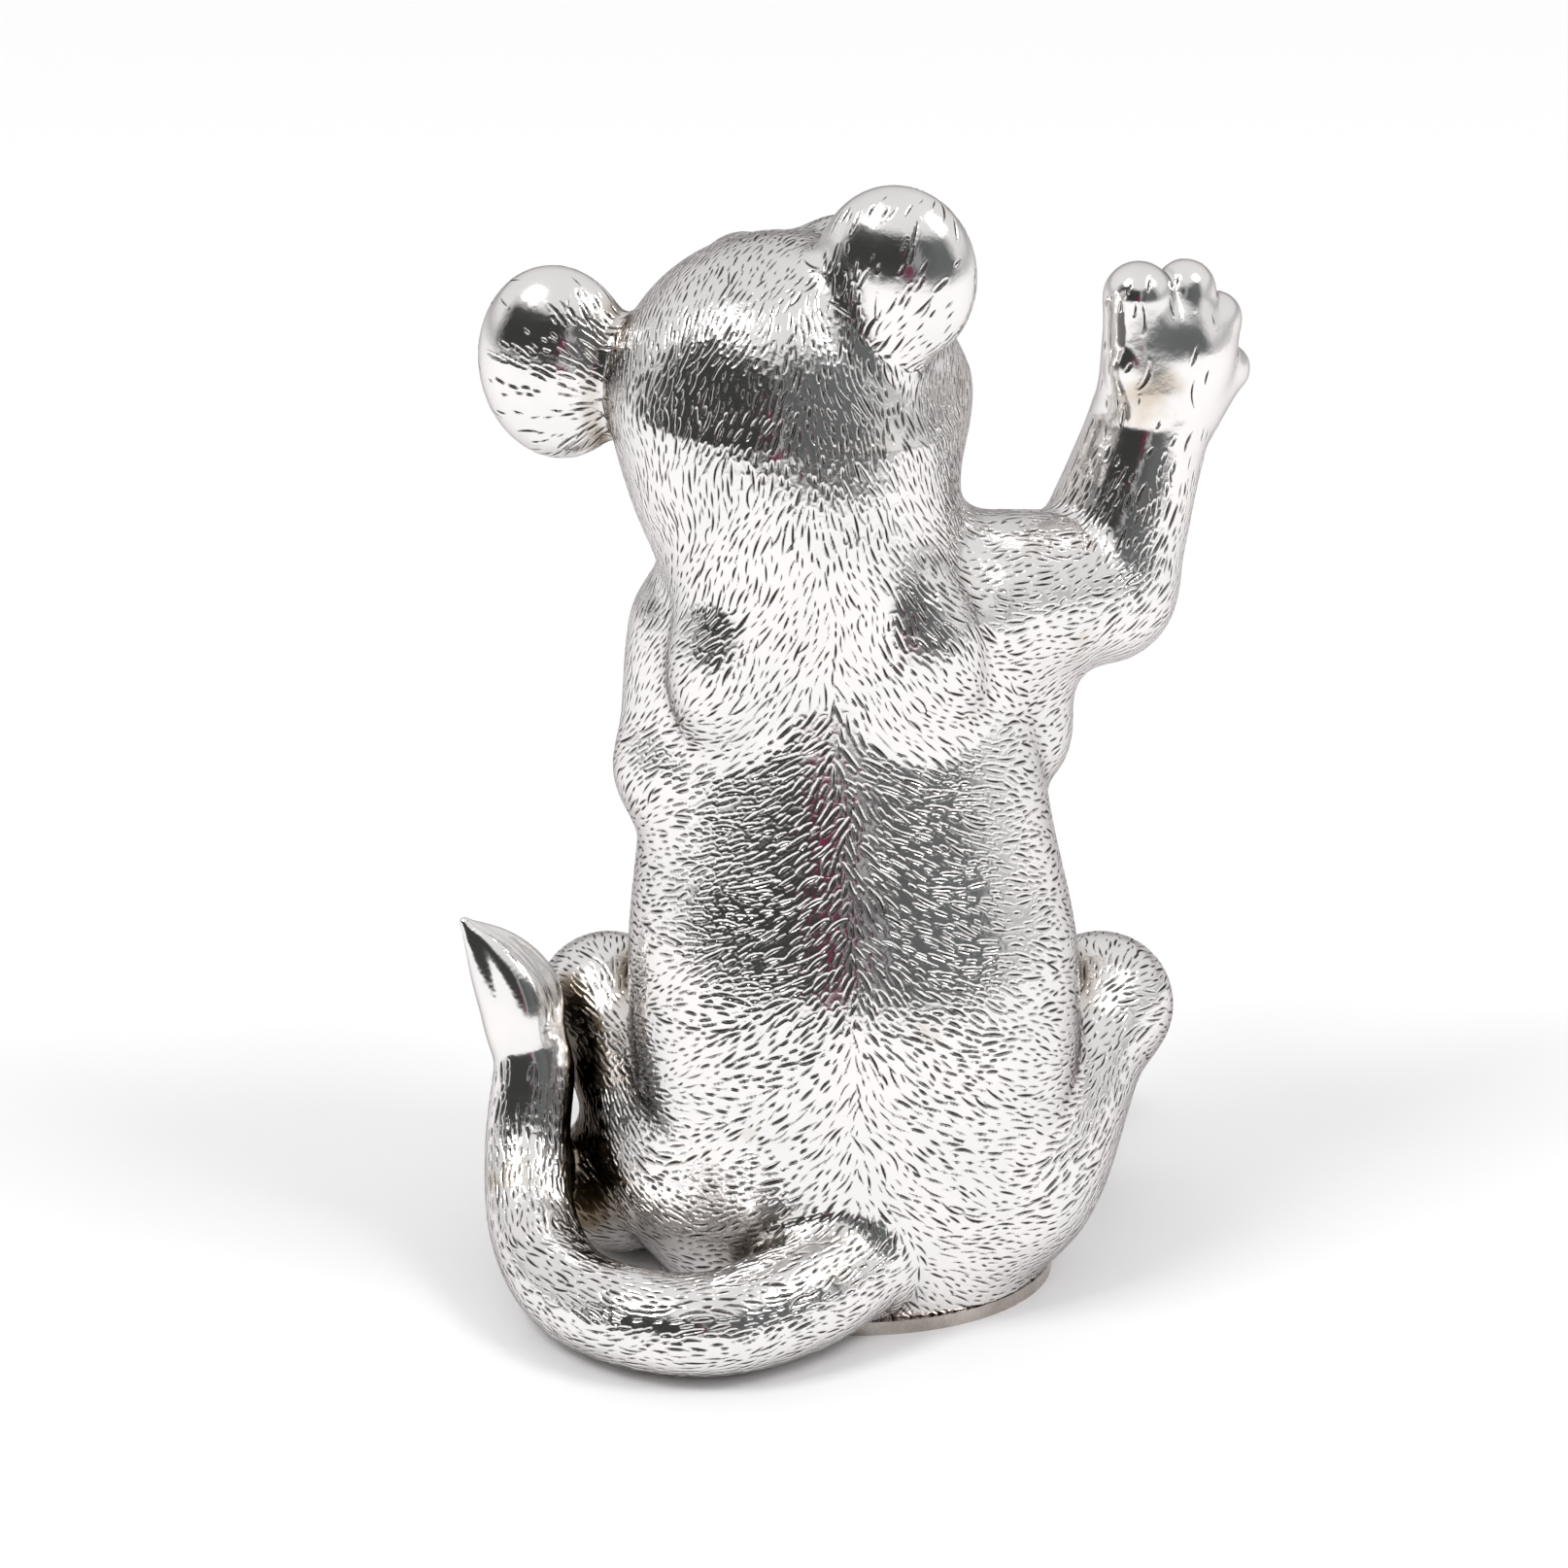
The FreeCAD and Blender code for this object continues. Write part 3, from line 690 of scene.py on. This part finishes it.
def engrave(points, grid):
    """The points with the fur strokes cut in, and each point's distance from a stroke."""
    normals = unit(slope(grid, points))
    outline = stroke_outlines(points, normals, place_strokes(points, grid))
    groove = 1 - eased(outline, -0.10, 0.06)
    rim = np.exp(-((outline - 0.13) / 0.08)**2)
    return points + normals * (RIM_HEIGHT * rim - STROKE_DEPTH * groove)[:, None], outline


def closeness(points, normals, coarse):
    """How shut in each point is, from 0 in the open to 1 deep in a fold."""
    total = np.zeros(len(points))
    for out in (1.5, 3.0, 5.0):
        total += np.clip(1 - read_grid(coarse, COARSE, points + normals * out) / out, 0, 1)
    return total / 3


# ---------------------------------------------------------------- pieces

def point_normals(points, quads):
    """Each point's normal, weighted by the size of the faces round it."""
    face = np.cross(points[quads[:, 2]] - points[quads[:, 0]], points[quads[:, 3]] - points[quads[:, 1]])
    total = np.zeros(points.shape)
    for corner in range(4):
        for axis in range(3):
            total[:, axis] += np.bincount(quads[:, corner], face[:, axis], len(points))
    return unit(total)


def open_rims(quads):
    """The edges that only one face uses, turned to close the mesh, and the rim that each is part of."""
    edges = np.stack([quads, np.roll(quads, -1, axis=1)], 2).reshape(-1, 2)
    keys = np.sort(edges, axis=1)
    keys = keys[:, 0] * (quads.max() + 1) + keys[:, 1]
    _, place, count = np.unique(keys, return_inverse=True, return_counts=True)
    rim_edges = edges[count[place] == 1][:, ::-1]
    root = {int(v): int(v) for v in rim_edges.ravel()}

    def find(v):
        while root[v] != v:
            root[v] = root[root[v]]
            v = root[v]
        return v

    for a, b in rim_edges:
        root[find(int(a))] = find(int(b))
    return rim_edges, np.array([find(int(a)) for a in rim_edges[:, 0]], np.int64)


def build_mesh(name, points, quads, caps, normals, values):
    """A Blender mesh of quads and cap triangles, with its normals and values set at the points."""
    mesh = bpy.data.meshes.new(name)
    mesh.vertices.add(len(points))
    mesh.vertices.foreach_set("co", (points * SCALE * MM).astype(np.float32).ravel())
    mesh.loops.add(quads.size + caps.size)
    mesh.loops.foreach_set("vertex_index", np.concatenate([quads.ravel(), caps.ravel()]).astype(np.int32))
    starts = np.concatenate([np.arange(len(quads)) * 4, quads.size + np.arange(len(caps)) * 3])
    mesh.polygons.add(len(starts))
    mesh.polygons.foreach_set("loop_start", starts.astype(np.int32))
    mesh.update(calc_edges=True)
    mesh.polygons.foreach_set("use_smooth", np.ones(len(starts), bool))
    for label, numbers in values.items():
        mesh.attributes.new(label, "FLOAT", "POINT").data.foreach_set("value", numbers.astype(np.float32))
    mesh.normals_split_custom_set_from_vertices(normals.astype(np.float32))
    return mesh


CAP_DEPTH = 1.5                 # how far below the surface a piece's hidden end starts


def make_piece(node, points, quads, normals, values, material):
    """One piece of the sculpture, closed where it meets the others, in place of its CAD node."""
    used, local = np.unique(quads, return_inverse=True)
    local = local.reshape(-1, 4)
    rim_edges, rims = open_rims(local)
    _, rim_number = np.unique(rims, return_inverse=True)
    ring, ring_place = np.unique(rim_edges, return_inverse=True)
    sunk = points[used][ring] - normals[used][ring] * CAP_DEPTH
    tips = np.array([sunk[np.unique(ring_place.reshape(-1, 2)[rim_number == rim])].mean(0)
                     for rim in range(rim_number.max() + 1)])
    inner = len(used) + ring_place.reshape(-1, 2)
    walls = np.column_stack([rim_edges, inner[:, 1], inner[:, 0]])
    caps = np.column_stack([inner, len(used) + len(ring) + rim_number])
    places = np.vstack([points[used], sunk, tips])
    facing = np.vstack([normals[used], normals[used][ring], np.tile(-DOWN, (len(tips), 1))])
    held = {label: np.concatenate([numbers[used], np.ones(len(ring) + len(tips))])
            for label, numbers in values.items()}
    local = np.vstack([local, walls])
    mesh = build_mesh(node + "_silver", places, local, caps, facing, held)
    piece = bpy.data.objects.new(node + "_silver", mesh)
    bpy.context.scene.collection.objects.link(piece)
    mesh.materials.append(material)
    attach(piece, "root")
    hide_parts(node)
    return piece


# ---------------------------------------------------------------- materials

def new_material(name):
    material = bpy.data.materials.new(name)
    material.use_nodes = True
    nodes = material.node_tree.nodes
    shader = nodes["Principled BSDF"]
    shader.inputs["Metallic"].default_value = 1.0
    return material, nodes, material.node_tree.links, shader


def noise(nodes, links, scale, detail=3.0):
    """Noise over the object's own space, at so many bumps to the metre."""
    place = nodes.new("ShaderNodeTexCoord")
    texture = nodes.new("ShaderNodeTexNoise")
    texture.inputs["Scale"].default_value = scale
    texture.inputs["Detail"].default_value = detail
    links.new(place.outputs["Object"], texture.inputs["Vector"])
    return texture.outputs["Fac"]


def spread(nodes, links, value, low, high, to_low, to_high):
    """The value stretched from one range to another."""
    remap = nodes.new("ShaderNodeMapRange")
    remap.inputs["From Min"].default_value = low
    remap.inputs["From Max"].default_value = high
    remap.inputs["To Min"].default_value = to_low
    remap.inputs["To Max"].default_value = to_high
    links.new(value, remap.inputs["Value"])
    return remap.outputs["Result"]


def combined(nodes, links, operation, a, b):
    maths = nodes.new("ShaderNodeMath")
    maths.operation = operation
    for socket, value in zip(maths.inputs, (a, b)):
        if isinstance(value, float):
            socket.default_value = value
        else:
            links.new(value, socket)
    return maths.outputs["Value"]


def mixed(nodes, links, share, a, b):
    mix = nodes.new("ShaderNodeMix")
    mix.data_type = "RGBA"
    links.new(share, mix.inputs["Factor"])
    for socket, value in ((mix.inputs["A"], a), (mix.inputs["B"], b)):
        if isinstance(value, tuple):
            socket.default_value = (*value, 1)
        else:
            links.new(value, socket)
    return mix.outputs["Result"]


def bumped(nodes, links, shader, height, distance, strength):
    bump = nodes.new("ShaderNodeBump")
    bump.inputs["Distance"].default_value = distance
    bump.inputs["Strength"].default_value = strength
    links.new(height, bump.inputs["Height"])
    links.new(bump.outputs["Normal"], shader.inputs["Normal"])


BRIGHT_SILVER = (0.94, 0.910, 0.895)
COOL_SILVER = (0.87, 0.86, 0.85)
# brown laid into the folds: partly real tarnish, partly painted shade
TARNISH_AND_SHADE = (0.42, 0.34, 0.25)
STAIN = (0.55, 0.43, 0.28)
OXIDE = (0.055, 0.046, 0.038)


def chased_silver():
    """Polished silver with blackened strokes, and brown tarnish in its folds that turns near-black deep in
    them; this darkening of the folds is partly real tarnish and partly painted shade.
    """
    material, nodes, links, shader = new_material("chased_silver")
    stroke = nodes.new("ShaderNodeAttribute")
    stroke.attribute_name = "stroke"
    fold = nodes.new("ShaderNodeAttribute")
    fold.attribute_name = "fold"
    grain = noise(nodes, links, 900.0)
    cloud = noise(nodes, links, 140.0)

    silver = mixed(nodes, links, spread(nodes, links, cloud, 0.35, 0.65, 0, 1), BRIGHT_SILVER, COOL_SILVER)
    # the fold attribute darkens the hollows with brown: partly real tarnish, partly painted shade
    shut_in = spread(nodes, links, fold.outputs["Fac"], 0.30, 0.75, 0, 1)
    tarnish_and_shade = combined(nodes, links, "MULTIPLY", shut_in, spread(nodes, links, cloud, 0.3, 0.6, 0.55, 1))
    silver = mixed(nodes, links, tarnish_and_shade, silver, TARNISH_AND_SHADE)
    # deep in the folds the colour goes near-black: partly oxide, partly painted shade
    deep = spread(nodes, links, fold.outputs["Fac"], 0.55, 0.85, 0, 0.9)
    silver = mixed(nodes, links, deep, silver, OXIDE)
    stain = spread(nodes, links, noise(nodes, links, 75.0, 6.0), 0.66, 0.74, 0, 0.55)
    silver = mixed(nodes, links, stain, silver, STAIN)

    rough_edge = combined(nodes, links, "MULTIPLY", grain, 0.05)
    outline = combined(nodes, links, "SUBTRACT", stroke.outputs["Fac"], rough_edge)
    ink = spread(nodes, links, outline, -0.065, 0.01, 1, 0)
    links.new(mixed(nodes, links, ink, silver, OXIDE), shader.inputs["Base Color"])

    polish = spread(nodes, links, cloud, 0.3, 0.7, 0.09, 0.17)
    dulled = combined(nodes, links, "MAXIMUM", polish, spread(nodes, links, ink, 0, 1, 0.09, 0.5))
    links.new(dulled, shader.inputs["Roughness"])
    shader.inputs["Specular Tint"].default_value = (0.50, 0.48, 0.48, 1)
    bumped(nodes, links, shader, grain, 0.00006, 0.5)
    return material


def plain_silver():
    """The base plate: plain sheet, worn and faintly scratched by the surfaces that it has stood on."""
    material, nodes, links, shader = new_material("plain_silver")
    cloud, scuffs = noise(nodes, links, 220.0), noise(nodes, links, 2600.0, 6.0)
    worn = spread(nodes, links, cloud, 0.35, 0.65, 0, 1)
    links.new(mixed(nodes, links, worn, (0.62, 0.57, 0.53), (0.42, 0.37, 0.34)), shader.inputs["Base Color"])
    links.new(spread(nodes, links, scuffs, 0.3, 0.7, 0.16, 0.36), shader.inputs["Roughness"])
    bumped(nodes, links, shader, scuffs, 0.00004, 0.4)
    return material


def pin_silver():
    """Drawn wire: dull, with fine lines along the draw."""
    material, nodes, links, shader = new_material("pin_silver")
    lines = noise(nodes, links, 1800.0)
    links.new(mixed(nodes, links, lines, (0.80, 0.79, 0.77), (0.66, 0.65, 0.63)), shader.inputs["Base Color"])
    links.new(spread(nodes, links, lines, 0.3, 0.7, 0.3, 0.5), shader.inputs["Roughness"])
    return material


def dress_cad_nodes():
    """The base plate and the hidden pins keep the CAD's own meshes."""
    plate, wire = plain_silver(), pin_silver()
    for node, material in (("base_plate", plate), ("ear_pins", wire), ("foreleg_pins", wire),
                           ("hind_leg_pins", wire), ("tail_pin", wire)):
        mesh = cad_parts[node].data
        mesh.materials.clear()
        mesh.materials.append(material)


# ---------------------------------------------------------------- studio

VIEW_DOWN = math.radians(22)    # how far the camera looks down
CAMERA_DISTANCE = 0.620
FRAME_WIDTH = 0.1345            # width of the picture at the cub
AIM_ACROSS, AIM_UP = 0.00608, 0.04108
FLOOR_REACH = 6.0

ROOM_SIDE = (0.12, 0.42)        # the room starts and is full this far toward +Y, of a direction's length
ROOM_FOOT = (-0.06, 0.08)       # and it starts and is full this far up
ROOM_TOP = (0.58, 0.70)         # and thins out and ends this far up
WHITE_WALL, GREY_SKIRTING = (1.0, 1.0, 1.0), (0.25, 0.25, 0.26)
ROOM_GREY, ROOM_BLACK = (0.16, 0.17, 0.17), (0.05, 0.052, 0.05)
DOORWAY, RED_COAT = (0.75, 0.75, 0.76), (0.22, 0.02, 0.08)
BACKDROP = (1.15, 1.15, 1.15)


def floor():
    mesh = bpy.data.meshes.new("floor")
    corners = [(x * FLOOR_REACH, y * FLOOR_REACH, 0) for x, y in ((-1, -1), (1, -1), (1, 1), (-1, 1))]
    mesh.from_pydata(corners, [], [(0, 1, 2, 3)])
    ground = bpy.data.objects.new("floor", mesh)
    bpy.context.scene.collection.objects.link(ground)
    material = bpy.data.materials.new("white_paper")
    material.use_nodes = True
    shader = material.node_tree.nodes["Principled BSDF"]
    shader.inputs["Base Color"].default_value = (0.93, 0.925, 0.93, 1)
    shader.inputs["Roughness"].default_value = 0.9
    mesh.materials.append(material)


def strip(nodes, links, x, middle, inner, outer):
    """1 within the inner distance of the middle, falling to 0 at the outer."""
    away = combined(nodes, links, "ABSOLUTE", combined(nodes, links, "SUBTRACT", x, middle), 0.0)
    return spread(nodes, links, away, inner, outer, 1, 0)


def studio_world():
    """White walls, with the darker side of the room behind the camera. The camera itself sees plain white.

    The room has a doorway and someone in a red coat, which show as streaks in the silver.
    """
    world = bpy.data.worlds.new("studio")
    bpy.context.scene.world = world
    world.use_nodes = True
    nodes, links = world.node_tree.nodes, world.node_tree.links
    direction = nodes.new("ShaderNodeTexCoord").outputs["Generated"]
    axes = nodes.new("ShaderNodeSeparateXYZ")
    links.new(direction, axes.inputs["Vector"])
    x, y, z = axes.outputs["X"], axes.outputs["Y"], axes.outputs["Z"]

    toward = combined(nodes, links, "ADD", y, combined(nodes, links, "MULTIPLY", x, 0.15))
    above_floor = spread(nodes, links, z, *ROOM_FOOT, 0, 1)
    below_lamps = spread(nodes, links, z, *ROOM_TOP, 1, 0)
    room = combined(nodes, links, "MULTIPLY", spread(nodes, links, toward, *ROOM_SIDE, 0, 1),
                    combined(nodes, links, "MULTIPLY", above_floor, below_lamps))

    skirting = combined(nodes, links, "MULTIPLY", spread(nodes, links, z, 0.12, 0.30, 1, 0), above_floor)
    skirting = combined(nodes, links, "MULTIPLY", skirting, 0.45)
    walls = mixed(nodes, links, skirting, WHITE_WALL, GREY_SKIRTING)

    inside = mixed(nodes, links, spread(nodes, links, x, -0.5, 0.1, 0, 1), ROOM_GREY, ROOM_BLACK)
    doorway = combined(nodes, links, "MULTIPLY", strip(nodes, links, x, -0.10, 0.02, 0.09), 0.6)
    inside = mixed(nodes, links, doorway, inside, DOORWAY)
    collar = spread(nodes, links, z, 0.30, 0.36, 1, 0)
    someone = combined(nodes, links, "MULTIPLY", strip(nodes, links, x, 0.06, 0.03, 0.06), collar)
    inside = mixed(nodes, links, someone, inside, RED_COAT)

    seen_direct = nodes.new("ShaderNodeLightPath").outputs["Is Camera Ray"]
    sky = mixed(nodes, links, seen_direct, mixed(nodes, links, room, walls, inside), BACKDROP)
    background = nodes["Background"]
    links.new(sky, background.inputs["Color"])
    background.inputs["Strength"].default_value = 0.80


def softbox(name, place, size, power):
    """A square lamp that faces the cub."""
    light = bpy.data.lights.new(name, "AREA")
    light.size = size
    light.energy = power
    lamp = bpy.data.objects.new(name, light)
    lamp.location = place
    lamp.rotation_euler = (Vector((0, 0, 0.05)) - Vector(place)).to_track_quat("-Z", "Y").to_euler()
    bpy.context.scene.collection.objects.link(lamp)


def camera():
    back = Vector((0, math.cos(VIEW_DOWN), math.sin(VIEW_DOWN)))
    up = Vector((0, -math.sin(VIEW_DOWN), math.cos(VIEW_DOWN)))
    data = bpy.data.cameras.new("camera")
    data.sensor_width = 36
    data.lens = data.sensor_width * CAMERA_DISTANCE / FRAME_WIDTH
    data.clip_end = 50
    eye = bpy.data.objects.new("camera", data)
    eye.location = Vector((AIM_ACROSS, 0, 0)) + up * AIM_UP + back * CAMERA_DISTANCE
    eye.rotation_mode = "QUATERNION"
    eye.rotation_quaternion = (-back).to_track_quat("-Z", "Y")
    bpy.context.scene.collection.objects.link(eye)
    bpy.context.scene.camera = eye


# ---------------------------------------------------------------- the scene

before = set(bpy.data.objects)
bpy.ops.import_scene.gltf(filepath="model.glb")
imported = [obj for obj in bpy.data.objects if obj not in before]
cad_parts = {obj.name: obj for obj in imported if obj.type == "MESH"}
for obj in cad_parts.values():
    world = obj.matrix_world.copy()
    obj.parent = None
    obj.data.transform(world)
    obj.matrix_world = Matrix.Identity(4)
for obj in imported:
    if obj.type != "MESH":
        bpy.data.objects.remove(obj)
cad_low, cad_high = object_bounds()
SCALE = (cad_high.z - cad_low.z) / MM / DRAWN_HEIGHT
NODES = ["back_shell", "front_shell", "skull_shell", "face_shell", "left_ear", "right_ear", "left_foreleg",
         "right_foreleg", "left_hind_leg", "right_hind_leg", "tail"]
BODY_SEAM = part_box("back_shell")[0].y / MM / SCALE
PLATE_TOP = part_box("base_plate")[1].z / MM / SCALE
PARTS = cub_parts()
LOW = np.array(cad_low) / MM / SCALE - MARGIN
HIGH = np.array(cad_high) / MM / SCALE + MARGIN

points, quads, labels, grid, coarse = surface()
normals = unit(slope(grid, points))
# how shut in each point is; the silver's colour is darkened by it in the folds, partly as tarnish and partly
# as painted shade
folds = closeness(points, normals, coarse)
points, outline = engrave(points, grid)
normals = point_normals(points, quads)
silver = chased_silver()
for number, node in enumerate(NODES):
    make_piece(node, points, quads[labels == number], normals, {"stroke": outline, "fold": folds}, silver)

dress_cad_nodes()
floor()
studio_world()
softbox("lamp_left", (0.9, 0.5, 1.5), 0.6, 11.0)
softbox("lamp_right", (-1.0, 0.4, 1.4), 0.6, 9.0)
camera()
bpy.context.scene.view_settings.view_transform = "Standard"
